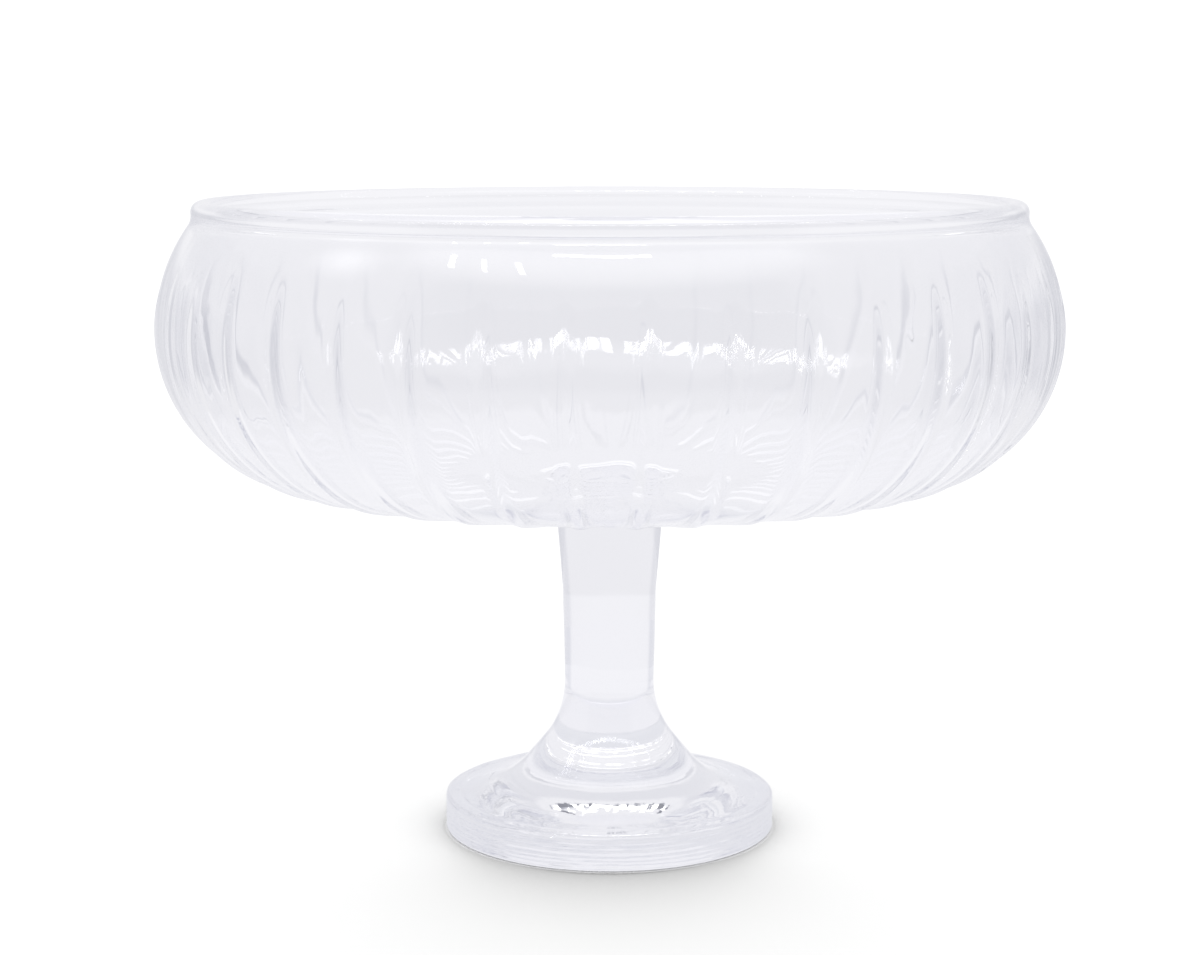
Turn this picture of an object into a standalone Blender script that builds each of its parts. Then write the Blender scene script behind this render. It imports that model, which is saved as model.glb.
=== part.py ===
"""Footed salad bowl of clear glass.

A mould-blown bowl with upright ribs and a rolled rim, a solid stem drawn out of hot
glass, and a thick round foot. The three are separate pieces of glass, fused one on
top of the other. Units are metres, +Z is up, and the origin is at the centre of the
foot's underside.
"""

import math

import bmesh
import bpy
from mathutils import Vector
from mathutils.geometry import intersect_sphere_sphere_2d

# Foot: a disc with an upright edge and a top that rises a little to the stem's seat.
FOOT_R = 0.0523
FOOT_EDGE = 0.0112
FOOT_RISE = 0.0013
FOOT_TOP_ROUND = 0.0018
FOOT_BOTTOM_ROUND = 0.0010

# Stem: narrowest at its waist, wider towards the bowl, flared to a skirt on the foot.
STEM_WAIST_R = 0.01405
STEM_WAIST_Z = 0.0477
STEM_TOP_R = 0.0170
FLARE_ARC = 0.0280
SKIRT_SLOPE = math.radians(45)

# Bowl: a shallow round base, a full belly, a shoulder that draws in, and a rim bead.
BASE_Z = 0.1050
BASE_SAG = 0.0075
BOWL_R = 0.1393
BELLY_ARC = 0.0485
SHOULDER_ARC = 0.0530
RIM_RISE = 0.0385
WALL = 0.0030
FLOOR = 0.0055
BEAD_R = 0.0033
BEAD_OUTSET = 0.0008

# Ribs: narrow ridges on the outside, from the shoulder down to the underside.
RIB_COUNT = 40
RIB_WIDTH = 0.0046
RIB_HEIGHT = 0.0009
RIB_RISE = 0.0220
RIB_END_R = 0.0300
RIB_FADE = 0.0160
RIB_TURN = math.radians(4.0)

# Fused joints: the faces of two pieces lie this far apart.
JOIN_GAP = 0.0003

# Facets round the stem and the foot.
ROUND_FACETS = 64

# Directions in a piece's section, in the plane of radius and height.
OUTWARD = 0.0
UP = math.pi / 2
INWARD = math.pi
DOWN = -math.pi / 2

# Heights that follow from the sizes above: the stem's seat, the belly, the rim and the ribs.
FOOT_SEAT_Z = FOOT_EDGE + FOOT_RISE
STEM_BOTTOM_Z = FOOT_SEAT_Z + JOIN_GAP
BELLY_Z = BASE_Z + BASE_SAG + BELLY_ARC
RIM_Z = BELLY_Z + RIM_RISE
RIB_TOP_Z = BELLY_Z + RIB_RISE


def arc(centre, radius, start, end, steps):
    """Points on a circle from one angle to another, both ends included."""
    angles = [start + (end - start) * i / steps for i in range(steps + 1)]
    return [centre + radius * Vector((math.cos(a), math.sin(a))) for a in angles]


def angle_of(point, centre):
    """Direction of a point as seen from a centre, from a half turn below to above."""
    return math.atan2(point.y - centre.y, point.x - centre.x)


def base_sphere(belly_centre, belly_arc, bottom_z):
    """Centre and radius of the shallow base that runs smoothly into a belly arc."""
    height = belly_centre.y - bottom_z
    radius = (belly_centre.x**2 + height**2 - belly_arc**2) / (2 * (height - belly_arc))
    return Vector((0, bottom_z + radius)), radius


BELLY_CENTRE = Vector((BOWL_R - BELLY_ARC, BELLY_Z))
SHOULDER_CENTRE = Vector((BOWL_R - SHOULDER_ARC, BELLY_Z))
BASE_CENTRE, BASE_ARC = base_sphere(BELLY_CENTRE, BELLY_ARC, BASE_Z)
SEAT_Z = BASE_CENTRE.y - math.sqrt(BASE_ARC**2 - STEM_TOP_R**2)
STEM_TOP_Z = SEAT_Z - JOIN_GAP


def smooth(share):
    """0 up to 0, 1 from 1, and an even curve between."""
    share = min(1.0, max(0.0, share))
    return share * share * (3 - 2 * share)


def rib_strength(point):
    """Share of the full rib height at a point of the bowl's outer wall."""
    below_top = smooth((RIB_TOP_Z - point.y) / RIB_FADE)
    outside_end = smooth((point.x - RIB_END_R) / RIB_FADE)
    return below_top * outside_end


def bowl_outside():
    """Section of the outer wall, from the middle of the underside to the rim bead."""
    join_angle = angle_of(BELLY_CENTRE, BASE_CENTRE)
    seat_edge = Vector((STEM_TOP_R, SEAT_Z))
    base = arc(BASE_CENTRE, BASE_ARC, angle_of(seat_edge, BASE_CENTRE), join_angle, 3)
    belly = arc(BELLY_CENTRE, BELLY_ARC, join_angle, OUTWARD, 5)
    crease = angle_of(bead_creases()[0], SHOULDER_CENTRE)
    shoulder = arc(SHOULDER_CENTRE, SHOULDER_ARC, OUTWARD, crease, 4)
    return [Vector((0, SEAT_Z))] + base + belly[1:] + shoulder[1:]


def bowl_inside():
    """Section of the inner wall, from the rim bead to the middle of the floor."""
    floor_z = BASE_Z + FLOOR
    belly_arc = BELLY_ARC - WALL
    floor_centre, floor_arc = base_sphere(BELLY_CENTRE, belly_arc, floor_z)
    join_angle = angle_of(BELLY_CENTRE, floor_centre)
    crease = angle_of(bead_creases()[1], SHOULDER_CENTRE)
    shoulder = arc(SHOULDER_CENTRE, SHOULDER_ARC - WALL, crease, OUTWARD, 3)
    belly = arc(BELLY_CENTRE, belly_arc, OUTWARD, join_angle, 4)
    floor = arc(floor_centre, floor_arc, join_angle, DOWN, 2)
    return shoulder + belly[1:] + floor[1:-1] + [Vector((0, floor_z))]


def bead_centre():
    """Middle of the rim bead, a little outside the middle of the wall's thickness."""
    reach = SHOULDER_ARC - WALL / 2 + BEAD_OUTSET
    rise = RIM_Z - BEAD_R - SHOULDER_CENTRE.y
    return SHOULDER_CENTRE + Vector((math.sqrt(reach**2 - rise**2), rise))


def bead_creases():
    """Where the bead meets the outer and the inner wall, below the bead."""
    centre = bead_centre()
    creases = []
    for wall_arc in (SHOULDER_ARC, SHOULDER_ARC - WALL):
        crossings = intersect_sphere_sphere_2d(SHOULDER_CENTRE, wall_arc, centre, BEAD_R)
        creases.append(min(crossings, key=lambda point: point.y))
    return creases


def rim_bead():
    """Section of the bead, from its outer crease over the top to its inner crease."""
    centre = bead_centre()
    outer, inner = (angle_of(crease, centre) for crease in bead_creases())
    return arc(centre, BEAD_R, outer, inner + 2 * math.pi, 8)[1:-1]


def skirt_r():
    """Radius of the stem's skirt where it lands on the foot."""
    flare_end_r = STEM_WAIST_R + FLARE_ARC * (1 - math.sin(SKIRT_SLOPE))
    flare_end_z = STEM_WAIST_Z - FLARE_ARC * math.cos(SKIRT_SLOPE)
    return flare_end_r + (flare_end_z - STEM_BOTTOM_Z) / math.tan(SKIRT_SLOPE)


def stem_section():
    """Section of the stem, from the middle of its underside to the middle of its top."""
    flare_centre = Vector((STEM_WAIST_R + FLARE_ARC, STEM_WAIST_Z))
    flare_end = INWARD + UP - SKIRT_SLOPE
    flare = arc(flare_centre, FLARE_ARC, flare_end, INWARD, 5)
    rise = STEM_TOP_Z - STEM_WAIST_Z
    widening = STEM_TOP_R - STEM_WAIST_R
    shaft_arc = (rise**2 + widening**2) / (2 * widening)
    shaft_centre = Vector((STEM_WAIST_R + shaft_arc, STEM_WAIST_Z))
    shaft_end = INWARD - math.asin(rise / shaft_arc)
    shaft = arc(shaft_centre, shaft_arc, INWARD, shaft_end, 6)
    bottom = [Vector((0, STEM_BOTTOM_Z)), Vector((skirt_r(), STEM_BOTTOM_Z))]
    return bottom + flare + shaft[1:] + [Vector((0, STEM_TOP_Z))]


def foot_section():
    """Section of the foot, from the middle of its underside to the middle of its top."""
    lower = Vector((FOOT_R - FOOT_BOTTOM_ROUND, FOOT_BOTTOM_ROUND))
    upper = Vector((FOOT_R - FOOT_TOP_ROUND, FOOT_EDGE - FOOT_TOP_ROUND))
    edge = arc(lower, FOOT_BOTTOM_ROUND, DOWN, OUTWARD, 2) + arc(upper, FOOT_TOP_ROUND, OUTWARD, UP, 3)
    seat = [Vector((skirt_r(), FOOT_SEAT_Z)), Vector((0, FOOT_SEAT_Z))]
    return [Vector((0, 0))] + edge + seat


def even_angles(radius):
    """Angles of the facets round a plain turned piece."""
    return [2 * math.pi * i / ROUND_FACETS for i in range(ROUND_FACETS)]


def ribbed_angles(radius):
    """Angles round the bowl: for each rib its two feet with the crest between, then mid-panel."""
    pitch = 2 * math.pi / RIB_COUNT
    half = min(RIB_WIDTH / 2 / radius, pitch / 3)
    angles = []
    for rib in range(RIB_COUNT):
        crest = DOWN + RIB_TURN + rib * pitch
        angles += [crest - half, crest, crest + half, crest + pitch / 2]
    return angles


CREST_PLACE, ANGLES_PER_RIB = 1, 4


def turn(section, angles_at):
    """Mesh of a section turned about the Z axis, with one ring of points for each of its points."""
    mesh = bmesh.new()
    rings = []
    for point in section:
        if point.x == 0:
            rings.append([mesh.verts.new((0, 0, point.y))])
            continue
        corners = [(point.x * math.cos(a), point.x * math.sin(a), point.y) for a in angles_at(point.x)]
        rings.append([mesh.verts.new(corner) for corner in corners])
    for lower, upper in zip(rings, rings[1:]):
        count = max(len(lower), len(upper))
        for i in range(count):
            corners = [lower[i % len(lower)], lower[(i + 1) % len(lower)]]
            corners += [upper[(i + 1) % len(upper)], upper[i % len(upper)]]
            mesh.faces.new(dict.fromkeys(corners))
    bmesh.ops.recalc_face_normals(mesh, faces=mesh.faces)
    return mesh, rings


def raise_ribs(section, rings):
    """Lifts the crest of every rib off the outer wall, square to the wall's section."""
    for i in range(1, len(section) - 1):
        along = section[i + 1] - section[i - 1]
        outward = Vector((along.y, -along.x)).normalized()
        lift = outward * RIB_HEIGHT * rib_strength(section[i])
        for crest in rings[i][CREST_PLACE::ANGLES_PER_RIB]:
            across = Vector((crest.co.x, crest.co.y)).normalized() * lift.x
            crest.co += Vector((across.x, across.y, lift.y))


def clear_glass(name, roughness):
    """Clear glass with a faint lilac cast."""
    material = bpy.data.materials.new(name)
    material.use_nodes = True
    shader = material.node_tree.nodes["Principled BSDF"]
    shader.inputs["Base Color"].default_value = (0.93, 0.93, 0.96, 1)
    shader.inputs["Roughness"].default_value = roughness
    shader.inputs["Metallic"].default_value = 0
    shader.inputs["IOR"].default_value = 1.5
    shader.inputs["Transmission Weight"].default_value = 1
    return material


def add_piece(name, mesh, roughness, parent):
    """A named object from a finished mesh, shaded smooth apart from its sharp edges."""
    data = bpy.data.meshes.new(name)
    mesh.to_mesh(data)
    mesh.free()
    data.shade_smooth()
    data.set_sharp_from_angle(angle=math.radians(40))
    data.materials.append(clear_glass(name + "_glass", roughness))
    piece = bpy.data.objects.new(name, data)
    piece.parent = parent
    bpy.context.scene.collection.objects.link(piece)


def main():
    for old in list(bpy.data.objects):
        bpy.data.objects.remove(old)
    whole = bpy.data.objects.new("footed_bowl", None)
    bpy.context.scene.collection.objects.link(whole)

    foot, _ = turn(foot_section(), even_angles)
    add_piece("foot", foot, 0.03, whole)

    stem, _ = turn(stem_section(), even_angles)
    add_piece("stem", stem, 0.02, whole)

    outside = bowl_outside()
    bowl, rings = turn(outside + rim_bead() + bowl_inside(), ribbed_angles)
    raise_ribs(outside, rings)
    add_piece("bowl", bowl, 0.02, whole)


main()
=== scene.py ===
import math
import random

import bmesh
import bpy
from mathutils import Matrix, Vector, noise


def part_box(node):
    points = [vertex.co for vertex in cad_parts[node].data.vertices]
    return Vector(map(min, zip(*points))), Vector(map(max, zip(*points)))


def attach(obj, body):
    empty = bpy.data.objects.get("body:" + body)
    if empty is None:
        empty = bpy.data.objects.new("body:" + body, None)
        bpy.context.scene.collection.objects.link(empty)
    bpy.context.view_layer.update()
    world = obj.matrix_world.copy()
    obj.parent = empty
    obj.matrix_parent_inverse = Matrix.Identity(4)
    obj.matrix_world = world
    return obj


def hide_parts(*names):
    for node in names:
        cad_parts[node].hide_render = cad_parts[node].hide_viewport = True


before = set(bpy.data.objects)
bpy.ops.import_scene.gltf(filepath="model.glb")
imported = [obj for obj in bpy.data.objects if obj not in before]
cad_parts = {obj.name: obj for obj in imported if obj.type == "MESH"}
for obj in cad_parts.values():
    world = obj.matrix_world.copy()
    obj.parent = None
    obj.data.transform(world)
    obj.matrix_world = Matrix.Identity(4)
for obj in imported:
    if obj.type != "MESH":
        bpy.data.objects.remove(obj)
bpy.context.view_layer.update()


# Foot
# A thick disc of clear glass, dropped on the end of the stem while soft and trued with a paddle
# as it spins. The paddle leaves level tool lines round the upright edge and a ring on top, and
# heat leaves every corner round. The bowl stands on its flat underside.
foot_low, foot_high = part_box("foot")
stem_low, stem_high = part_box("stem")
FOOT_R = foot_high.x
FOOT_EDGE = 0.0112
FOOT_BOTTOM_ROUND = 0.0010
FOOT_TOP_ROUND = 0.0016
SKIRT_R = 0.0342
SKIRT_ROUND = 0.0300
SKIRT_SLOPE = math.radians(50)
SKIRT_Z = (foot_high.z + stem_low.z) / 2
JOIN_RISE = 0.0007
JOIN_GAP = 0.00001
FOOT_JOIN_Z = SKIRT_Z + JOIN_RISE
FOOT_WAVE = 0.00035
FOOT_WAVE_LENGTH = 0.016
TOP_RING_IN = 0.0045
TOP_RING_WIDTH = 0.0007
TOP_RING_DEPTH = 0.00015
ROUND_COLUMNS = 256
ARC_STEP = math.radians(4)
ROW_STEP = 0.0012
EDGE_STEP = 0.0002
EDGE_BAND = 0.0075
EDGE_SLACK = 0.00005

# A tool line is its height on the edge and its depth. Round the foot it wanders up and down and
# comes and goes, and the shifts take every line to a part of the noise of its own.
TOOL_LINES = [(0.0017, 0.00024), (0.0028, 0.00020), (0.0042, 0.00014)]
TOOL_LINES += [(0.0058, 0.00020), (0.0074, 0.00012), (0.0088, 0.00016)]
TOOL_LINE_WIDTH = 0.00045
TOOL_LINE_WANDER = 0.0004
WANDER_TURNS = 1.7
WANDER_SHIFT = 3000
TOOL_LINE_STRENGTH = 0.55
TOOL_LINE_UNEVEN = 0.75
UNEVEN_TURNS = 8
UNEVEN_SHIFT = 9000


def rounded(corners):
    """Outline in radius and height through corners, each with the radius that rounds it."""
    points = [Vector(corners[0][:2])]
    for before, corner, after in zip(corners, corners[1:], corners[2:]):
        here = Vector(corner[:2])
        back = (Vector(before[:2]) - here).normalized()
        ahead = (Vector(after[:2]) - here).normalized()
        bend = math.pi - back.angle(ahead)
        reach = corner[2] * math.tan(bend / 2)
        middle = (back + ahead).normalized()
        centre = here + middle * (corner[2] / math.cos(bend / 2))
        first = here + back * reach - centre
        last = here + ahead * reach - centre
        steps = max(2, round(bend / ARC_STEP))
        for i in range(steps + 1):
            share = i / steps
            mix = math.sin((1 - share) * bend) * first + math.sin(share * bend) * last
            points.append(centre + mix / math.sin(bend))
    points.append(Vector(corners[-1][:2]))
    return points


def divided(points, longest):
    """The same outline with no stretch longer than this."""
    made = [points[0]]
    for start, end in zip(points, points[1:]):
        steps = max(1, math.ceil((end - start).length / longest))
        made += [start.lerp(end, (i + 1) / steps) for i in range(steps)]
    return made


def turned(name, outline, angles, swell, fused):
    """A solid turned from an outline: swell lifts points off it, fused are the rows of its joints."""
    mesh = bmesh.new()
    rings = []
    last = len(outline) - 1
    for i, point in enumerate(outline):
        if i in (0, last):
            rings.append([mesh.verts.new((0, 0, point.y))])
            continue
        along = outline[i + 1] - outline[i - 1]
        outward = Vector((along.y, -along.x)).normalized()
        ring = []
        for angle in angles:
            place = point + outward * swell(i, point, angle)
            ring.append(mesh.verts.new((place.x * math.cos(angle), place.x * math.sin(angle), place.y)))
        rings.append(ring)
    for i, (lower, upper) in enumerate(zip(rings, rings[1:])):
        for k in range(len(angles)):
            n = (k + 1) % len(angles)
            corners = [lower[k % len(lower)], lower[n % len(lower)]]
            corners += [upper[n % len(upper)], upper[k % len(upper)]]
            face = mesh.faces.new(dict.fromkeys(corners))
            face.smooth = True
            face.material_index = 1 if i in fused else 0
    for edge in mesh.edges:
        if len({face.material_index for face in edge.link_faces}) > 1:
            edge.smooth = False
    data = bpy.data.meshes.new(name)
    mesh.to_mesh(data)
    mesh.free()
    piece = bpy.data.objects.new(name, data)
    bpy.context.scene.collection.objects.link(piece)
    return piece


def linear(hex_colour):
    """An sRGB hex colour as linear red, green, blue and alpha."""
    parts = [int(hex_colour[i:i + 2], 16) / 255 for i in (1, 3, 5)]
    return [p / 12.92 if p <= 0.04045 else ((p + 0.055) / 1.055) ** 2.4 for p in parts] + [1.0]


def add_node(tree, kind, settings=None, links=None):
    """A node with its settings, on sockets or on itself, and its links from other nodes' sockets."""
    node = tree.nodes.new(kind)
    for key, value in (settings or {}).items():
        if isinstance(key, int) or key in node.inputs:
            node.inputs[key].default_value = value
        else:
            setattr(node, key, value)
    for key, source in (links or {}).items():
        tree.links.new(source, node.inputs[key])
    return node


# Soda-lime glass, fire-polished: clear, with a cool cast only where it is thick, and so smooth
# that it mirrors lamps sharply. Hand work leaves slow waves that make what is behind it swim.
THICK_GLASS = "#FAFAFC"
GLASS_IOR = 1.52
GLASS_SMOOTHEST = 0.003
GLASS_ROUGHEST = 0.007


def clear_glass(name, tint, wave_size, wave_depth, detail):
    """Glass whose surface rolls in waves of this size along x, y and z, and of this depth."""
    material = bpy.data.materials.new(name)
    material.use_nodes = True
    tree = material.node_tree
    tree.nodes.clear()
    where = add_node(tree, "ShaderNodeTexCoord")
    scale = {"Scale": [1 / size for size in wave_size]}
    scaled = add_node(tree, "ShaderNodeMapping", scale, {"Vector": where.outputs["Object"]})
    waves = {"Scale": 1.0, "Detail": detail, "Roughness": 0.5}
    rolling = add_node(tree, "ShaderNodeTexNoise", waves, {"Vector": scaled.outputs["Vector"]})
    height = {"Height": rolling.outputs["Fac"]}
    uneven = add_node(tree, "ShaderNodeBump", {"Strength": 1.0, "Distance": wave_depth}, height)
    polish = {"To Min": GLASS_SMOOTHEST, "To Max": GLASS_ROUGHEST}
    polished = add_node(tree, "ShaderNodeMapRange", polish, {"Value": rolling.outputs["Fac"]})
    shader = add_node(
        tree,
        "ShaderNodeBsdfPrincipled",
        {"Base Color": linear(tint), "IOR": GLASS_IOR, "Transmission Weight": 1.0},
        {"Normal": uneven.outputs["Normal"], "Roughness": polished.outputs["Result"]},
    )
    add_node(tree, "ShaderNodeOutputMaterial", links={"Surface": shader.outputs["BSDF"]})
    return material


# Fused joint: where two pieces of hot glass have run together no surface is left, so the end
# faces there neither bend nor mirror light.
fused_joint = bpy.data.materials.new("fused_joint")
fused_joint.use_nodes = True
fused_joint.node_tree.nodes["Principled BSDF"].inputs["Alpha"].default_value = 0.0


def foot_swell(i, point, angle):
    """Tool lines on the upright edge, and slow waves with one pressed ring on top."""
    x, y = math.cos(angle), math.sin(angle)
    if point.x > FOOT_R - EDGE_SLACK:
        lift = 0.0
        for height, depth in TOOL_LINES:
            stray = noise.noise(Vector((x * WANDER_TURNS, y * WANDER_TURNS, height * WANDER_SHIFT)))
            uneven = noise.noise(Vector((x * UNEVEN_TURNS, y * UNEVEN_TURNS, height * UNEVEN_SHIFT)))
            strength = TOOL_LINE_STRENGTH + TOOL_LINE_UNEVEN * uneven
            from_line = (point.y - (height + TOOL_LINE_WANDER * stray)) / TOOL_LINE_WIDTH
            lift -= depth * strength * math.exp(-from_line**2)
        return lift
    if point.y < FOOT_BOTTOM_ROUND:
        return 0.0
    spot = Vector((point.x * x, point.x * y, point.y)) / FOOT_WAVE_LENGTH
    from_ring = (point.x - FOOT_R + TOP_RING_IN) / TOP_RING_WIDTH
    return FOOT_WAVE * noise.noise(spot) - TOP_RING_DEPTH * math.exp(-from_ring**2)


even_angles = [2 * math.pi * i / ROUND_COLUMNS for i in range(ROUND_COLUMNS)]
foot_corner = (FOOT_R, FOOT_EDGE, FOOT_TOP_ROUND)
skirt_corner = (SKIRT_R, SKIRT_Z, SKIRT_ROUND)
skirt_top = (0, SKIRT_Z + SKIRT_R * math.tan(SKIRT_SLOPE))
foot_bottom = [(0, foot_low.z), (FOOT_R, foot_low.z, FOOT_BOTTOM_ROUND)]
foot_line = divided(rounded(foot_bottom + [foot_corner, skirt_corner, skirt_top]), ROW_STEP)
join = next(i for i, point in enumerate(foot_line) if point.y > FOOT_JOIN_Z - JOIN_GAP)
seam = Vector(((foot_line[join - 1].x + foot_line[join].x) / 2, FOOT_JOIN_Z))
foot_line = foot_line[:join]
fine_start = next(i for i, point in enumerate(foot_line) if point.x > FOOT_R - JOIN_GAP)
fine_end = next(i for i, point in enumerate(foot_line) if i > fine_start and point.x < FOOT_R - EDGE_BAND)
foot_line[fine_start:fine_end] = divided(foot_line[fine_start:fine_end], EDGE_STEP)
foot_line += [seam - Vector((0, JOIN_GAP)), Vector((0, FOOT_JOIN_Z - JOIN_GAP))]
foot = turned("foot_disc", foot_line, even_angles, foot_swell, fused=[len(foot_line) - 2])

# Spun soda-lime glass: the paddle draws the waves out into fine level lines, 12 mm long round
# the edge and half a millimetre high, which brush the light along it.
SPUN_WAVE = (0.012, 0.012, 0.0005)
SPUN_WAVE_DEPTH = 0.00006
spun_glass = clear_glass("spun_soda_lime_glass", THICK_GLASS, SPUN_WAVE, SPUN_WAVE_DEPTH, detail=3.0)
foot.data.materials.append(spun_glass)
foot.data.materials.append(fused_joint)
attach(foot, "root")
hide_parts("foot")


# Stem
# A solid column of clear glass drawn down from the bowl while hot, wider at the top and flared
# to a skirt that lands on the foot and is fused to it. Drawing leaves faint upright lines.
bowl_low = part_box("bowl")[0]
STEM_WAIST_R = 0.01405
STEM_TOP_R = 0.0170
STEM_TOP_Z = (stem_high.z + bowl_low.z) / 2
STEM_TOP_ROUND = 0.0030
STEM_SWELL_Z = 0.0765
STEM_SWELL_ARC = 0.5500
FLARE_ARC = 0.0300
FLARE_TOP_Z = SKIRT_Z + (SKIRT_R - STEM_WAIST_R) * math.tan(SKIRT_SLOPE)
BASE_RUN = 0.0040
BASE_RISE = 0.00015
STEM_JOIN_DROP = 0.00005
STEM_WAVE = 0.00016
STEM_WAVE_LENGTH = 0.020
DRAWN_LINE_DEPTH = 0.000006
DRAWN_LINE_TURNS = 4.3
DRAWN_LINE_LENGTH = 0.080


def stem_swell(i, point, angle):
    """Slow waves, and faint upright lines from drawing."""
    x, y = math.cos(angle), math.sin(angle)
    spot = Vector((point.x * x, point.x * y, point.y)) / STEM_WAVE_LENGTH
    along = Vector((x * DRAWN_LINE_TURNS, y * DRAWN_LINE_TURNS, point.y / DRAWN_LINE_LENGTH))
    return STEM_WAVE * noise.noise(spot) + DRAWN_LINE_DEPTH * noise.noise(along)


stem_corners = [foot_corner, skirt_corner, (STEM_WAIST_R, FLARE_TOP_Z, FLARE_ARC)]
stem_corners += [(STEM_WAIST_R, STEM_SWELL_Z, STEM_SWELL_ARC), (STEM_TOP_R, STEM_TOP_Z, STEM_TOP_ROUND)]
stem_corners += [(STEM_TOP_R + BASE_RUN, STEM_TOP_Z + BASE_RISE)]
stem_line = [p for p in divided(rounded(stem_corners), ROW_STEP) if p.y > FOOT_JOIN_Z + JOIN_GAP]
stem_line = [Vector((0, FOOT_JOIN_Z + JOIN_GAP)), seam + Vector((0, JOIN_GAP))] + stem_line
stem_cap = Vector((stem_line[-1].x, STEM_TOP_Z - STEM_JOIN_DROP))
stem_line[-1:] = [stem_cap, Vector((0, stem_cap.y))]
stem = turned("drawn_stem", stem_line, even_angles, stem_swell, fused=[0, len(stem_line) - 2])

# Drawn soda-lime glass: pulling stretches the waves to 4 mm across and 32 mm along the stem, so
# light runs down it in soft upright bands.
DRAWN_WAVE = (0.004, 0.004, 0.032)
DRAWN_WAVE_DEPTH = 0.00003
drawn_glass = clear_glass("drawn_soda_lime_glass", THICK_GLASS, DRAWN_WAVE, DRAWN_WAVE_DEPTH, detail=1.0)
stem.data.materials.append(drawn_glass)
stem.data.materials.append(fused_joint)
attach(stem, "root")
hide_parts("stem")


# Bowl
# Clear glass blown into a ribbed mould, so that it carries upright ribs from the shoulder to
# the stem, then opened and rolled over at the rim. The wall is thin and a little wavy, and the
# bowl's base is fused to the top of the stem.
BOWL_R = 0.1393
BASE_Z = 0.1050
BASE_SAG = 0.0075
BELLY_ARC = 0.0485
BELLY_Z = BASE_Z + BASE_SAG + BELLY_ARC
SHOULDER_ARC = 0.0530
WALL = 0.0030
FLOOR = 0.0055
RIM_Z = 0.1995
BEAD_R = 0.0033
BEAD_OUTSET = 0.0008
BEAD_FILLET = 0.0055
RIB_COUNT = 40
RIB_WIDTH = 0.0066
RIB_HEIGHT = 0.00070
RIB_RISE = 0.0230
RIB_END_R = 0.0480
RIB_FADE = 0.0220
RIB_TURN = math.radians(4.0)
RIB_STRAY_DEGREES = 0.25
RIB_HEIGHT_SHARES = (0.8, 1.15)
HAND_SEED = 11
RIB_COLUMNS = 8
RIB_COLUMNS_SPREAD = 1.3
PANEL_COLUMNS = 5
BASE_STEP = 0.0030
BELLY_STEP = 0.0024
SHOULDER_STEP = 0.0020
HOLLOW_STEP = 0.0005
BEAD_STEP = 0.0006
INSIDE_STEP = 0.0026
FLOOR_STEP = 0.0034
SKIN_WAVE_LENGTH = 0.030
OUTSIDE_WAVE = 0.00005
RIM_WAVE = 0.00004
INSIDE_WAVE = 0.00006
STREAK_DEPTH = 0.00018
STREAK_TURNS = 20
STREAK_LENGTH = 0.040
FINE_STREAK_DEPTH = 0.00010
FINE_STREAK_TURNS = 38
FINE_STREAK_LENGTH = 0.030
STREAK_DROP = 0.035
STREAK_FADE = 0.020
RIPPLE_DEPTH = 0.00008
RIPPLE_LENGTH = 0.012
RIPPLE_DROP = 0.020
RIPPLE_FADE = 0.015
DOWN = -math.pi / 2

belly_centre = Vector((BOWL_R - BELLY_ARC, BELLY_Z))
shoulder_centre = Vector((BOWL_R - SHOULDER_ARC, BELLY_Z))
bead_reach = SHOULDER_ARC - WALL / 2 + BEAD_OUTSET
bead_rise = RIM_Z - BEAD_R - BELLY_Z
bead_centre = shoulder_centre + Vector((math.sqrt(bead_reach**2 - bead_rise**2), bead_rise))


def arc(centre, radius, start, end, spacing):
    """Points on a circle from one angle to another, about this far apart."""
    steps = max(2, math.ceil(abs(end - start) * radius / spacing))
    angles = [start + (end - start) * i / steps for i in range(steps + 1)]
    return [centre + radius * Vector((math.cos(a), math.sin(a))) for a in angles]


def bearing(point, centre):
    """Angle at which a point lies from a centre."""
    return math.atan2(point.y - centre.y, point.x - centre.x)


def base_sphere(belly_arc, bottom_z):
    """Centre and radius of the shallow base that runs smoothly into a belly arc."""
    height = BELLY_Z - bottom_z
    radius = (belly_centre.x**2 + height**2 - belly_arc**2) / (2 * (height - belly_arc))
    return Vector((0, bottom_z + radius)), radius


def bead_hollow(wall_arc, side):
    """Centre of the hollow between bead and wall: side is 1 outside the wall and -1 inside it."""
    far = wall_arc + side * BEAD_FILLET
    near = BEAD_R + BEAD_FILLET
    apart = (bead_centre - shoulder_centre).length
    between = math.acos((apart**2 + far**2 - near**2) / (2 * apart * far))
    below = bearing(bead_centre, shoulder_centre) - between
    return shoulder_centre + far * Vector((math.cos(below), math.sin(below)))


base_centre, base_arc = base_sphere(BELLY_ARC, BASE_Z)
floor_centre, floor_arc = base_sphere(BELLY_ARC - WALL, BASE_Z + FLOOR)
outer_hollow = bead_hollow(SHOULDER_ARC, 1)
inner_hollow = bead_hollow(SHOULDER_ARC - WALL, -1)
outer_end = bearing(outer_hollow, shoulder_centre)
inner_end = bearing(inner_hollow, shoulder_centre)
base_join = bearing(belly_centre, base_centre)
floor_join = bearing(belly_centre, floor_centre)
base_start = DOWN + math.asin((stem_cap.x + ROW_STEP) / base_arc)
outer_bead = bearing(bead_centre, outer_hollow)
rim_start = bearing(outer_hollow, bead_centre)
rim_end = bearing(inner_hollow, bead_centre) + 2 * math.pi

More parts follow.
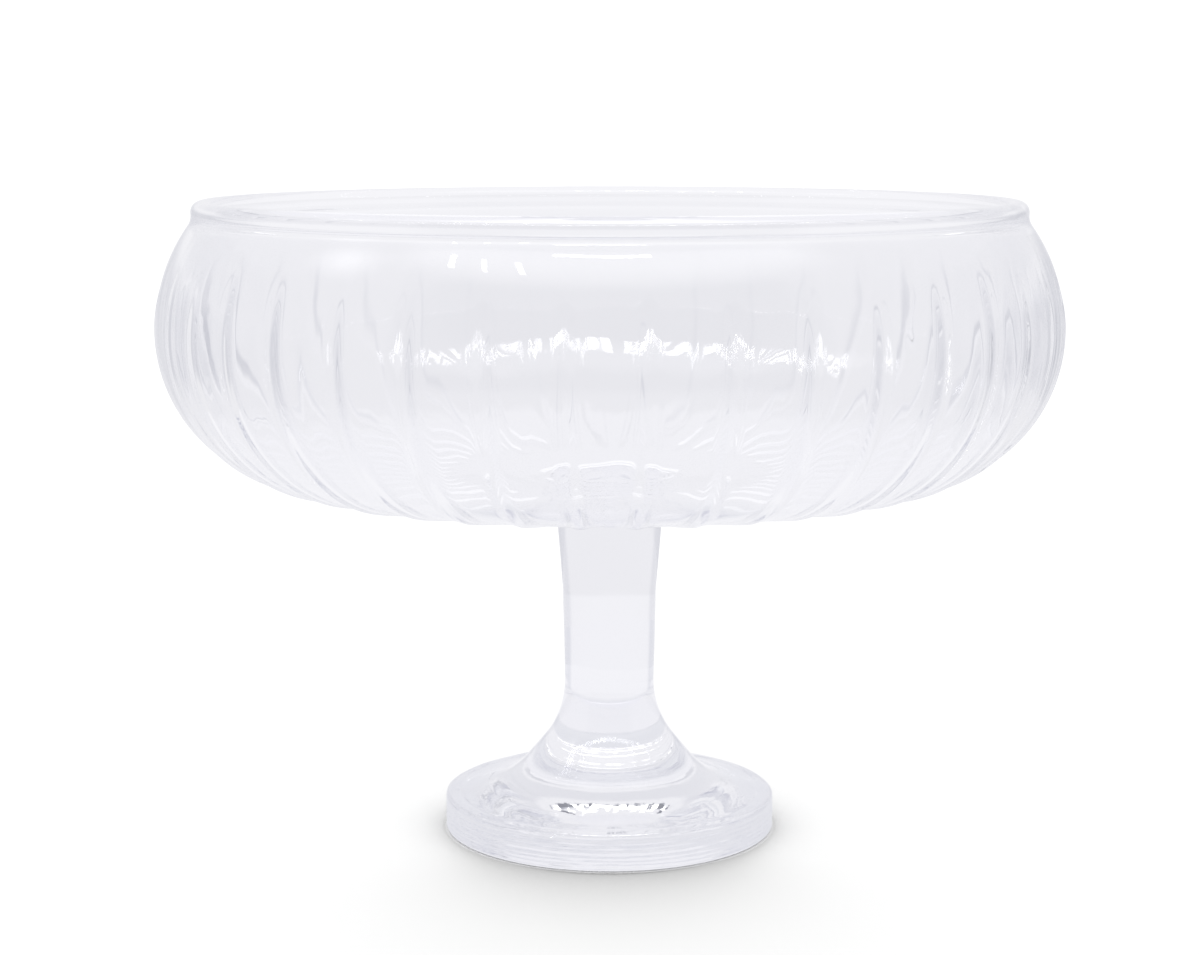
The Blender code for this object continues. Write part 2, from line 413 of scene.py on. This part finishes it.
outside = arc(base_centre, base_arc, base_start, base_join, BASE_STEP)
outside += arc(belly_centre, BELLY_ARC, base_join, 0, BELLY_STEP)[1:]
outside += arc(shoulder_centre, SHOULDER_ARC, 0, outer_end, SHOULDER_STEP)[1:]
outside += arc(outer_hollow, BEAD_FILLET, outer_end + math.pi, outer_bead, HOLLOW_STEP)[1:]
rim = arc(bead_centre, BEAD_R, rim_start, rim_end, BEAD_STEP)[1:-1]
inside = arc(inner_hollow, BEAD_FILLET, bearing(bead_centre, inner_hollow), inner_end, HOLLOW_STEP)
inside += arc(shoulder_centre, SHOULDER_ARC - WALL, inner_end, 0, INSIDE_STEP)[1:]
inside += arc(belly_centre, BELLY_ARC - WALL, 0, floor_join, INSIDE_STEP)[1:]
inside += arc(floor_centre, floor_arc, floor_join, DOWN, FLOOR_STEP)[1:-1]
seat_z = STEM_TOP_Z + STEM_JOIN_DROP
seat = [Vector((0, seat_z)), Vector((stem_cap.x, seat_z))]
bowl_line = seat + outside + rim + inside + [Vector((0, BASE_Z + FLOOR))]
first_free_row = len(seat) + 1
first_rim_row = len(seat) + len(outside)
first_inside_row = first_rim_row + len(rim)

hand = random.Random(HAND_SEED)
rib_pitch = 2 * math.pi / RIB_COUNT
rib_crests = [DOWN + RIB_TURN + k * rib_pitch for k in range(RIB_COUNT)]
rib_strays = [hand.uniform(-RIB_STRAY_DEGREES, RIB_STRAY_DEGREES) for _ in range(RIB_COUNT)]
rib_places = [crest + math.radians(stray) for crest, stray in zip(rib_crests, rib_strays)]
rib_heights = [RIB_HEIGHT * hand.uniform(*RIB_HEIGHT_SHARES) for _ in range(RIB_COUNT)]


def smooth(share):
    """0 below 0, 1 above 1, and a soft step between."""
    share = min(1.0, max(0.0, share))
    return share * share * (3 - 2 * share)


def rib_lift(point, angle):
    """Height of the nearest rib over the wall at this place."""
    ribbed = smooth((BELLY_Z + RIB_RISE - point.y) / RIB_FADE) * smooth((point.x - RIB_END_R) / RIB_FADE)
    if ribbed == 0:
        return 0.0
    k = round((angle - rib_crests[0]) / rib_pitch) % RIB_COUNT
    off = (angle - rib_places[k] + math.pi) % (2 * math.pi) - math.pi
    half = min(RIB_WIDTH / 2 / point.x, rib_pitch / 2)
    if abs(off) > half:
        return 0.0
    return rib_heights[k] * ribbed * math.cos(math.pi / 2 * off / half) ** 2


def bowl_swell(i, point, angle):
    """Ribs outside, streaks and ripples inside, and slow waves all over but at the joint."""
    x, y = math.cos(angle), math.sin(angle)
    spot = Vector((point.x * x, point.x * y, point.y))
    slow = noise.noise(spot / SKIN_WAVE_LENGTH)
    if i < first_free_row:
        return 0.0
    if i < first_rim_row:
        return rib_lift(point, angle) + OUTSIDE_WAVE * slow
    if i < first_inside_row:
        return RIM_WAVE * slow
    streak = noise.noise(Vector((x * STREAK_TURNS, y * STREAK_TURNS, point.y / STREAK_LENGTH)))
    fine = noise.noise(Vector((x * FINE_STREAK_TURNS, y * FINE_STREAK_TURNS, point.y / FINE_STREAK_LENGTH)))
    streaked = smooth((BELLY_Z + RIB_RISE - point.y) / RIB_FADE)
    streaked *= smooth((point.y - BELLY_Z + STREAK_DROP) / STREAK_FADE)
    rippled = smooth((BELLY_Z - RIPPLE_DROP - point.y) / RIPPLE_FADE)
    ripple = RIPPLE_DEPTH * noise.noise(spot / RIPPLE_LENGTH) * rippled
    return INSIDE_WAVE * slow + ripple + (STREAK_DEPTH * streak + FINE_STREAK_DEPTH * fine) * streaked


bowl_angles = []
half_rib = RIB_WIDTH / 2 / BOWL_R * RIB_COLUMNS_SPREAD
panel = rib_pitch - 2 * half_rib
for crest in rib_crests:
    bowl_angles += [crest - half_rib + 2 * half_rib * j / RIB_COLUMNS for j in range(RIB_COLUMNS)]
    bowl_angles += [crest + half_rib + panel * j / PANEL_COLUMNS for j in range(PANEL_COLUMNS)]
bowl = turned("ribbed_bowl", bowl_line, bowl_angles, bowl_swell, fused=[0])

# Blown soda-lime glass: thin, so almost without colour. The mould leaves its skin rolling in
# shallow waves 9 mm across, which break up reflections.
THIN_GLASS = "#FDFDFE"
BLOWN_WAVE = (0.009, 0.009, 0.009)
BLOWN_WAVE_DEPTH = 0.00003
blown_glass = clear_glass("blown_soda_lime_glass", THIN_GLASS, BLOWN_WAVE, BLOWN_WAVE_DEPTH, detail=1.0)
bowl.data.materials.append(blown_glass)
bowl.data.materials.append(fused_joint)
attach(bowl, "root")
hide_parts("bowl")


# Table
# A round white board, matt and evenly lit, that the foot stands on. It ends behind the bowl, so
# its far edge shows through the glass. The glass sees it as a painted glow, in tones that depend
# on the way the light took: painted shadow makes what thick glass gathers from under and beside
# the foot darker than the rest.
TABLE_R = 0.37
TABLE_GAP = 0.0002
TABLE_COLUMNS = 128
TABLE_WHITE = "#F7F7F7"
FLOOR_LIGHT = 1.12
# To the glass the board is a painted glow in these tones, not lit white.
BOARD_THROUGH_WALLS = "#FBFBFD"
# Painted shade: darker at the sides, through both walls.
BOARD_PAINTED_SHADE_THROUGH_SIDES = "#E6E6EA"
BOARD_THROUGH_SOLID = "#ECECEF"
# Painted shadow of the foot: darker near it, under it, and most under its sides.
BOARD_PAINTED_SHADOW_NEAR_FOOT = "#DCDDE2"
BOARD_PAINTED_SHADE_UNDER_FOOT = "#E8E8EC"
BOARD_PAINTED_SHADE_UNDER_SIDES = "#C8C9D3"
# Painted shade in clouds, for light trapped inside the foot.
BOARD_TRAPPED_LIGHT = "#E8E9ED"
BOARD_TRAPPED_PAINTED_SHADE = "#B6B7C4"
# Painted shade by the stem's edges.
BOARD_PAINTED_SHADE_BY_STEM_EDGE = "#DADBE1"
# Painted light: the glow is brighter through both walls.
WALLS_PAINTED_LIGHT = 0.06
CLOUD_SIZE = 0.014
CLOUD_EDGE = (0.36, 0.62)
UNDER_FADE = 0.004
MIDDLE_FADE = (0.042, 0.030)
NEAR_FADE = (0.085, 0.060)

# Spans aside from the front, in degrees: low end, high end and how soft both are.
BOARD_SIDES = (45, 130, 20)
SIDE_WALLS = (110, 164, 9)
STEM_EDGES = (60, 131, 5)

# Ways that light comes to the eye: how many faces of glass it went through, and how many
# mirrored it. Light that was mirrored more often inside one solid piece is trapped.
BOTH_WALLS = (4, 0)
SOLID_GLASS = (2, 0)
COUNT_SLACK = 0.5
TRAPPED_FROM = 2.5


def times(tree, *factors):
    """Product of the values that some nodes give."""
    product = factors[0]
    for factor in factors[1:]:
        links = {0: product.outputs[0], 1: factor.outputs[0]}
        product = add_node(tree, "ShaderNodeMath", {"operation": "MULTIPLY"}, links)
    return product


def within(tree, angle, low, high, soft):
    """1 where an angle in degrees lies between two others, and 0 outside, with soft ends."""
    ends = []
    for start, end in ((low - soft, low + soft), (high + soft, high - soft)):
        settings = {"interpolation_type": "SMOOTHSTEP", "From Min": start, "From Max": end}
        ends.append(add_node(tree, "ShaderNodeMapRange", settings, {"Value": angle.outputs[0]}))
    return times(tree, *ends)


def fade(tree, value, start, end):
    """0 at the start and 1 at the end, even between them."""
    return add_node(tree, "ShaderNodeMapRange", {"From Min": start, "From Max": end}, {"Value": value})


def met(tree, ray, passed, mirrored):
    """1 for light that went through so many faces of glass and was mirrored by so many."""
    passes = {0: ray.outputs["Transmission Depth"]}
    mirrors = {0: ray.outputs["Glossy Depth"]}
    through = add_node(tree, "ShaderNodeMath", {"operation": "COMPARE", 1: passed, 2: COUNT_SLACK}, passes)
    off = add_node(tree, "ShaderNodeMath", {"operation": "COMPARE", 1: mirrored, 2: COUNT_SLACK}, mirrors)
    return times(tree, through, off)


def trapped(tree, ray):
    """1 for light that was mirrored over and over inside one solid piece of glass."""
    passes = {0: ray.outputs["Transmission Depth"]}
    mirrors = {0: ray.outputs["Glossy Depth"]}
    few = add_node(tree, "ShaderNodeMath", {"operation": "LESS_THAN", 1: TRAPPED_FROM}, passes)
    many = add_node(tree, "ShaderNodeMath", {"operation": "GREATER_THAN", 1: TRAPPED_FROM}, mirrors)
    return times(tree, few, many)


def bearings(tree, direction):
    """A direction as degrees aside from the front, degrees above the level, and a signed turn."""
    parts = add_node(tree, "ShaderNodeSeparateXYZ", links={"Vector": direction})
    front = add_node(tree, "ShaderNodeMath", {"operation": "MULTIPLY", 1: -1.0}, {0: parts.outputs["Y"]})
    across = {0: parts.outputs["X"], 1: front.outputs[0]}
    turn = add_node(tree, "ShaderNodeMath", {"operation": "ARCTAN2"}, across)
    turn = add_node(tree, "ShaderNodeMath", {"operation": "DEGREES"}, {0: turn.outputs[0]})
    aside = add_node(tree, "ShaderNodeMath", {"operation": "ABSOLUTE"}, {0: turn.outputs[0]})
    rise = add_node(tree, "ShaderNodeMath", {"operation": "ARCSINE"}, {0: parts.outputs["Z"]})
    rise = add_node(tree, "ShaderNodeMath", {"operation": "DEGREES"}, {0: rise.outputs[0]})
    return aside, rise, turn


def blend(tree, share, first, second):
    """One colour where the share is 0 and another where it is 1. Each is a hex colour or a socket."""
    node = add_node(tree, "ShaderNodeMix", {"data_type": "RGBA"}, {0: share.outputs[0]})
    for socket, colour in ((node.inputs[6], first), (node.inputs[7], second)):
        if isinstance(colour, str):
            socket.default_value = linear(colour)
        else:
            tree.links.new(colour, socket)
    return node.outputs[2]


bpy.ops.mesh.primitive_circle_add(vertices=TABLE_COLUMNS, radius=TABLE_R, fill_type="NGON")
table = bpy.context.object
table.name = "table"
table.location.z = -TABLE_GAP

# Board, painted matt white: plain to the eye. To the glass that stands on it, a steady painted
# glow in place of lit white, with painted shade and painted light in its tones.
board = bpy.data.materials.new("board_with_painted_glow")
board.use_nodes = True
board.cycles.emission_sampling = "NONE"
tree = board.node_tree
tree.nodes.clear()
ray = add_node(tree, "ShaderNodeLightPath")
where = add_node(tree, "ShaderNodeTexCoord")
aside = bearings(tree, where.outputs["Object"])[0]
reach = add_node(tree, "ShaderNodeVectorMath", {"operation": "LENGTH"}, {0: where.outputs["Object"]})
from_middle = reach.outputs["Value"]
# Painted shadow of the foot on the glow: darker near the foot and under it, most under its sides.
under = fade(tree, from_middle, FOOT_R, FOOT_R - UNDER_FADE)
under_sides = times(tree, within(tree, aside, *BOARD_SIDES), under)
by_stem_edge = times(tree, within(tree, aside, *STEM_EDGES), met(tree, ray, *SOLID_GLASS))
both_walls = met(tree, ray, *BOTH_WALLS)
solid = blend(tree, fade(tree, from_middle, *NEAR_FADE), BOARD_THROUGH_SOLID, BOARD_PAINTED_SHADOW_NEAR_FOOT)
solid = blend(tree, under, solid, BOARD_PAINTED_SHADE_UNDER_FOOT)
dark = blend(tree, fade(tree, from_middle, *MIDDLE_FADE), BOARD_PAINTED_SHADE_UNDER_SIDES, BOARD_PAINTED_SHADE_UNDER_FOOT)
solid = blend(tree, under_sides, solid, dark)
# Painted shade in clouds for light trapped inside the foot.
cloud_settings = {"Scale": 1 / CLOUD_SIZE, "Detail": 2.0}
clouds = add_node(tree, "ShaderNodeTexNoise", cloud_settings, {"Vector": where.outputs["Object"]})
cloudy = fade(tree, clouds.outputs["Fac"], *CLOUD_EDGE)
deep = blend(tree, cloudy, BOARD_TRAPPED_LIGHT, BOARD_TRAPPED_PAINTED_SHADE)
solid = blend(tree, trapped(tree, ray), solid, deep)
# Painted shade by the stem's edges, for light through solid glass.
solid = blend(tree, by_stem_edge, solid, BOARD_PAINTED_SHADE_BY_STEM_EDGE)
# Painted shade at the sides and under the foot, for light through both walls.
thin = blend(tree, within(tree, aside, *SIDE_WALLS), BOARD_THROUGH_WALLS, BOARD_PAINTED_SHADE_THROUGH_SIDES)
thin = blend(tree, under, thin, BOARD_PAINTED_SHADE_UNDER_FOOT)
tone = blend(tree, both_walls, solid, thin)
# Painted light: the glow is lifted for light through both walls.
lift = {"operation": "MULTIPLY_ADD", 1: WALLS_PAINTED_LIGHT, 2: FLOOR_LIGHT}
strength = add_node(tree, "ShaderNodeMath", lift, {0: both_walls.outputs[0]})
steady = {"Color": tone, "Strength": strength.outputs[0]}
painted_glow = add_node(tree, "ShaderNodeEmission", links=steady)
matt = add_node(tree, "ShaderNodeBsdfDiffuse", {"Color": linear(TABLE_WHITE)})
to_eye = {0: ray.outputs["Is Camera Ray"], 1: painted_glow.outputs[0], 2: matt.outputs[0]}
surface = add_node(tree, "ShaderNodeMixShader", links=to_eye)
add_node(tree, "ShaderNodeOutputMaterial", links={"Surface": surface.outputs[0]})
table.data.materials.append(board)

# As in the photograph, only the foot leaves a shadow on the board: bowl and stem are set to cast none.
for piece in (bowl, stem):
    piece.visible_diffuse = False
    piece.visible_shadow = False


# Light
# A white tent lit from outside, with the bowl in the middle: pale all round, a shade darker at
# the sides, open to a dim room in front, and with lamps over that opening. The glass mirrors the
# lamps, while the table and the picture's background get plain white light.
TENT_LOW = "#EEEEF1"
TENT_LEVEL = "#F4F4F7"
TENT_TOP = "#F5F5F8"
SHADE_TINT = "#E6EAFF"
LOW_END = 0.47
LEVEL_START = 0.52
STRAIGHT_DOWN = -90.0
STRAIGHT_UP = 90.0
LAMP_WHITE = "#FFFFFF"
studio = bpy.data.worlds.new("studio")
studio.use_nodes = True
studio.cycles.sampling_method = "NONE"
bpy.context.scene.world = studio
tree = studio.node_tree
tree.nodes.clear()
ray = add_node(tree, "ShaderNodeLightPath")
way = add_node(tree, "ShaderNodeTexCoord")
aside, rise, turn = bearings(tree, way.outputs["Generated"])


def total(shares):
    """Sum of patches of the surroundings, each with its strength."""
    so_far = None
    for shape, strength in shares:
        settings = {"operation": "MULTIPLY_ADD", 1: strength, 2: 0.0}
        node = add_node(tree, "ShaderNodeMath", settings, {0: shape.outputs[0]})
        if so_far:
            tree.links.new(so_far.outputs[0], node.inputs[2])
        so_far = node
    return so_far


def patch(across, span, heights, *seen_by):
    """A soft-edged patch of the tent, shown only to light that came in the ways named."""
    return times(tree, within(tree, across, *span), within(tree, rise, *heights), *seen_by)


# Light mirrored by the outer face, by the inner face or by the far wall, and light that came
# straight through both walls, through one solid piece, or after many turns inside one.
OUTER_FACE = (0, 1)
INNER_FACE = (2, 1)
FAR_WALL = (4, 1)
outer_face = met(tree, ray, *OUTER_FACE)
inner_face = met(tree, ray, *INNER_FACE)
both_faces = total([(outer_face, 1.0), (inner_face, 1.0)])
far_wall = met(tree, ray, *FAR_WALL)
both_walls = met(tree, ray, *BOTH_WALLS)
solid_glass = met(tree, ray, *SOLID_GLASS)
inside_solid = trapped(tree, ray)

# Broken light, as lamps over cluttered shelves give it: in strips for the far wall, in blotches for
# the foot's top, and in wide clouds for its depth.
STRIPS_PER_DEGREE = 0.28
STRIP_EDGE = (0.45, 0.52)
BLOTCHES_PER_DEGREE = 0.28
DARK_BLOTCH_EDGE = (0.50, 0.54)
LIGHT_BLOTCH_EDGE = (0.50, 0.45)
CLOUDS_PER_DEGREE = 0.08
strip_settings = {"noise_dimensions": "1D", "Scale": STRIPS_PER_DEGREE, "Detail": 1.0}
broken = add_node(tree, "ShaderNodeTexNoise", strip_settings, {"W": turn.outputs[0]})
strips = fade(tree, broken.outputs["Fac"], *STRIP_EDGE)
around = add_node(tree, "ShaderNodeCombineXYZ", links={"X": turn.outputs[0], "Y": rise.outputs[0]})
blotch_settings = {"noise_dimensions": "2D", "Scale": BLOTCHES_PER_DEGREE, "Detail": 2.0}
blotchy = add_node(tree, "ShaderNodeTexNoise", blotch_settings, {"Vector": around.outputs[0]})
dark_blotches = fade(tree, blotchy.outputs["Fac"], *DARK_BLOTCH_EDGE)
light_blotches = fade(tree, blotchy.outputs["Fac"], *LIGHT_BLOTCH_EDGE)
cloud_settings = {"noise_dimensions": "2D", "Scale": CLOUDS_PER_DEGREE, "Detail": 2.0}
clouds = add_node(tree, "ShaderNodeTexNoise", cloud_settings, {"Vector": around.outputs[0]})
cloudy = fade(tree, clouds.outputs["Fac"], *CLOUD_EDGE)

# Clouds deep in the foot, from the right half of the tent only, so that its left side is fuller.
RIGHT_HALF = (0, 200, 10)
DEEP_DIM = 0.38
deep_clouds = times(tree, inside_solid, cloudy, within(tree, turn, *RIGHT_HALF))
dark_parts = [(deep_clouds, DEEP_DIM)]

# Dark edges of the stem.
STEM_EDGE_DIM = 0.12
dark_parts.append((times(tree, within(tree, aside, *STEM_EDGES), solid_glass), STEM_EDGE_DIM))

# The dim room in front, as the near wall mirrors it.
ROOM_ASIDE = (-20, 52, 8)
ROOM_RISE = (-20, 42, 4)
ROOM_DIM = 0.36
dark_parts.append((patch(aside, ROOM_ASIDE, ROOM_RISE, both_faces), ROOM_DIM))

# Darker sides of the tent, down to the level line that shows through both walls, and mirrored.
SIDES_RISE = (-60, 10, 8)
ABOVE_LINE = (-20.5, 60, 1)
SIDES_MIRRORED_RISE = (-15, 4, 3)
SIDES_DIM = 0.22
above_line = within(tree, rise, *ABOVE_LINE)
dark_parts.append((patch(aside, SIDE_WALLS, SIDES_RISE, above_line, both_walls), SIDES_DIM))
dark_parts.append((patch(aside, SIDE_WALLS, SIDES_MIRRORED_RISE, both_faces), SIDES_DIM))

# Posts of the tent's frame, behind the bowl on the left and on the right.
LEFT_POSTS = (-160, -134, 3)
RIGHT_POSTS = (138, 156, 3)
POSTS_RISE = (-14, -4, 1.5)
LEFT_POSTS_DIM = 0.10
RIGHT_POSTS_DIM = 0.03
dark_parts.append((patch(turn, LEFT_POSTS, POSTS_RISE, both_walls), LEFT_POSTS_DIM))
dark_parts.append((patch(turn, RIGHT_POSTS, POSTS_RISE, both_walls), RIGHT_POSTS_DIM))

# The shadow line where the tent meets the table at the sides.
LINE_ASIDE = (106, 160, 3)
LINE_RISE = (-21, -19, 0.7)
LINE_DIM = 0.30
dark_parts.append((patch(aside, LINE_ASIDE, LINE_RISE, both_walls), LINE_DIM))

# The low back of the tent, and the dark marks that break the light on top of the foot.
BACK_ASIDE = (100, 190, 10)
BACK_RISE = (9, 24, 2)
BACK_DIM = 0.12
MARKS_ASIDE = (148, 190, 6)
MARKS_RISE = (28.4, 30.8, 0.6)
MARKS_DIM = 0.70
dark_parts.append((patch(aside, BACK_ASIDE, BACK_RISE, inner_face), BACK_DIM))
dark_parts.append((patch(aside, MARKS_ASIDE, MARKS_RISE, inner_face, dark_blotches), MARKS_DIM))

# Glints among those marks.
GLINTS_RISE = (29.5, 34, 0.6)
GLINTS_LIGHT = 1.5
lamps = [(patch(aside, MARKS_ASIDE, GLINTS_RISE, inner_face, light_blotches), GLINTS_LIGHT)]

# A little light from all round: behind the stem and over it, and below the level line.
ALL_ROUND = (-10, 190, 5)
BEHIND_STEM_RISE = (-60, -8.5, 0.6)
BEHIND_STEM_LIGHT = 0.085
OVER_STEM_RISE = (-8.5, 20, 0.6)
OVER_STEM_LIGHT = 0.03
BELOW_LINE_RISE = (-60, -10.8, 0.8)
BELOW_LINE_LIGHT = 0.055
lamps.append((patch(aside, ALL_ROUND, BEHIND_STEM_RISE, solid_glass), BEHIND_STEM_LIGHT))
lamps.append((patch(aside, ALL_ROUND, OVER_STEM_RISE, solid_glass), OVER_STEM_LIGHT))
lamps.append((patch(aside, ALL_ROUND, BELOW_LINE_RISE, both_walls), BELOW_LINE_LIGHT))

# A wide soft lamp overhead, a tube in front of it, and a window on the left.
OVERHEAD_ASIDE = (-20, 75, 10)
OVERHEAD_RISE = (48, 70, 8)
OVERHEAD_LIGHT = 0.8
TUBE_TURN = (-23, 16, 0.4)
TUBE_RISE = (60.2, 61.8, 0.3)
TUBE_LIGHT = 20.0
WINDOW_TURN = (-94, -78, 8)
WINDOW_RISE = (36, 46, 6)
WINDOW_LIGHT = 1.2
lamps.append((patch(aside, OVERHEAD_ASIDE, OVERHEAD_RISE, both_faces), OVERHEAD_LIGHT))
lamps.append((patch(turn, TUBE_TURN, TUBE_RISE, outer_face), TUBE_LIGHT))
lamps.append((patch(turn, WINDOW_TURN, WINDOW_RISE, both_faces), WINDOW_LIGHT))

# A row of broken light on the far wall, brighter in the middle.
SPARKLE_TURN = (-95, 75, 3)
SPARKLE_MIDDLE = (-42, 14, 3)
SPARKLE_RISE = (39, 51, 1)
SPARKLE_LIGHT = 6.0
SPARKLE_MIDDLE_LIGHT = 8.0
lamps.append((patch(turn, SPARKLE_MIDDLE, SPARKLE_RISE, far_wall, strips), SPARKLE_MIDDLE_LIGHT))
lamps.append((patch(turn, SPARKLE_TURN, SPARKLE_RISE, far_wall, strips), SPARKLE_LIGHT))

# Three small leaning spots in front on the left.
SPOTS = (-54.5, -42.6, -30.0)
SPOT_LEAN = 0.8
SPOT_HALF = 0.9
SPOT_SOFT = 0.3
SPOT_MIDDLE_RISE = 51.5
SPOT_RISE = (48.5, 54.5, 1)
SPOT_LIGHT = 25.0
lean = {"operation": "MULTIPLY_ADD", 1: SPOT_LEAN}
slant = add_node(tree, "ShaderNodeMath", lean, {0: rise.outputs[0], 2: turn.outputs[0]})
for spot in SPOTS:
    middle = spot + SPOT_LEAN * SPOT_MIDDLE_RISE
    across_spot = (middle - SPOT_HALF, middle + SPOT_HALF, SPOT_SOFT)
    lamps.append((patch(slant, across_spot, SPOT_RISE, outer_face), SPOT_LIGHT))

# The tent's cloth, shaded by the dark parts, with the lamps added for the glass only.
upward = fade(tree, rise.outputs[0], STRAIGHT_DOWN, STRAIGHT_UP)
tent = add_node(tree, "ShaderNodeValToRGB", links={"Fac": upward.outputs["Result"]})
tent.color_ramp.elements[0].position = LOW_END
tent.color_ramp.elements[0].color = linear(TENT_LOW)
tent.color_ramp.elements[1].position = LEVEL_START
tent.color_ramp.elements[1].color = linear(TENT_LEVEL)
tent.color_ramp.elements.new(1.0).color = linear(TENT_TOP)
dim = total(dark_parts)
keep = add_node(tree, "ShaderNodeMath", {"operation": "SUBTRACT", 0: 1.0}, {1: dim.outputs[0]})
shade = {"Color": blend(tree, dim, tent.outputs["Color"], SHADE_TINT), "Strength": keep.outputs[0]}
cloth = add_node(tree, "ShaderNodeBackground", links=shade)
power = {"Strength": total(lamps).outputs[0]}
lamp_light = add_node(tree, "ShaderNodeBackground", {"Color": linear(LAMP_WHITE)}, power)
lit = add_node(tree, "ShaderNodeAddShader", links={0: cloth.outputs[0], 1: lamp_light.outputs[0]})
plain = add_node(tree, "ShaderNodeBackground", {"Color": linear(LAMP_WHITE), "Strength": FLOOR_LIGHT})
straight = {0: ray.outputs["Is Camera Ray"], 1: ray.outputs["Is Diffuse Ray"]}
direct = add_node(tree, "ShaderNodeMath", {"operation": "MAXIMUM"}, straight)
either = {0: direct.outputs[0], 1: lit.outputs[0], 2: plain.outputs[0]}
seen = add_node(tree, "ShaderNodeMixShader", links=either)
add_node(tree, "ShaderNodeOutputWorld", links={"Surface": seen.outputs[0]})


# Shadow screen
# A black paper collar round the foot, tall in front and a hair high behind, which keeps light off
# the table so that the foot's shadow falls forward. It is black outside and open from within, and
# neither the camera nor the glass sees it.
SCREEN_HEIGHT = 0.150
SCREEN_LOW = 0.0008
SCREEN_GAP = 0.0004
SCREEN_LEAN = 0.002
SCREEN_FOLD = 0.004
SCREEN_FOLD_LOW = 0.0002
SCREEN_NARROWING = 16
SCREEN_COLUMNS = 96
PAPER_BLACK = "#000000"
mesh = bmesh.new()
rings = [[], [], []]
for k in range(SCREEN_COLUMNS):
    angle = 2 * math.pi * k / SCREEN_COLUMNS
    front = ((1 - math.sin(angle)) / 2) ** SCREEN_NARROWING
    steps = [(0.0, 0.0)]
    steps += [(SCREEN_LEAN * front, SCREEN_FOLD_LOW + SCREEN_FOLD * front)]
    steps += [(SCREEN_LEAN * front, SCREEN_LOW + SCREEN_HEIGHT * front)]
    for ring, (leaning, height) in zip(rings, steps):
        radius = FOOT_R + SCREEN_GAP + leaning
        ring.append(mesh.verts.new((radius * math.cos(angle), radius * math.sin(angle), height)))
for lower, upper in zip(rings, rings[1:]):
    for k in range(SCREEN_COLUMNS):
        n = (k + 1) % SCREEN_COLUMNS
        mesh.faces.new((lower[k], lower[n], upper[n], upper[k]))
data = bpy.data.meshes.new("shadow_screen")
mesh.to_mesh(data)
mesh.free()
screen = bpy.data.objects.new("shadow_screen", data)
bpy.context.scene.collection.objects.link(screen)
screen.visible_camera = False
screen.visible_glossy = False
screen.visible_transmission = False

# Black paper, matt: it gives back no light.
paper = bpy.data.materials.new("black_paper")
paper.use_nodes = True
tree = paper.node_tree
tree.nodes.clear()
side = add_node(tree, "ShaderNodeNewGeometry")
black = add_node(tree, "ShaderNodeBsdfDiffuse", {"Color": linear(PAPER_BLACK)})
clear = add_node(tree, "ShaderNodeBsdfTransparent")
faces = {0: side.outputs["Backfacing"], 1: black.outputs[0], 2: clear.outputs[0]}
one_way = add_node(tree, "ShaderNodeMixShader", links=faces)
add_node(tree, "ShaderNodeOutputMaterial", links={"Surface": one_way.outputs[0]})
screen.data.materials.append(paper)


# Camera
# A short telephoto lens three quarters of a metre in front of the bowl, a little above its rim
# and tipped down, as the picture was taken. Light may turn often enough to leave thick glass.
CAMERA_PLACE = (-0.0030, -0.7528, 0.2264)
CAMERA_TIP = math.radians(8.63)
CAMERA_LENS = 72.47
CAMERA_SENSOR = 36.0
LIGHT_TURNS = 1024
scene = bpy.context.scene
camera = bpy.data.objects.new("camera", bpy.data.cameras.new("camera"))
scene.collection.objects.link(camera)
camera.data.sensor_width = CAMERA_SENSOR
camera.data.lens = CAMERA_LENS
camera.location = CAMERA_PLACE
camera.rotation_euler.x = math.pi / 2 - CAMERA_TIP
scene.camera = camera
scene.view_settings.view_transform = "Standard"
scene.cycles.denoising_input_passes = "RGB"
scene.cycles.max_bounces = LIGHT_TURNS
scene.cycles.transmission_bounces = LIGHT_TURNS
scene.cycles.glossy_bounces = LIGHT_TURNS
scene.cycles.transparent_max_bounces = LIGHT_TURNS
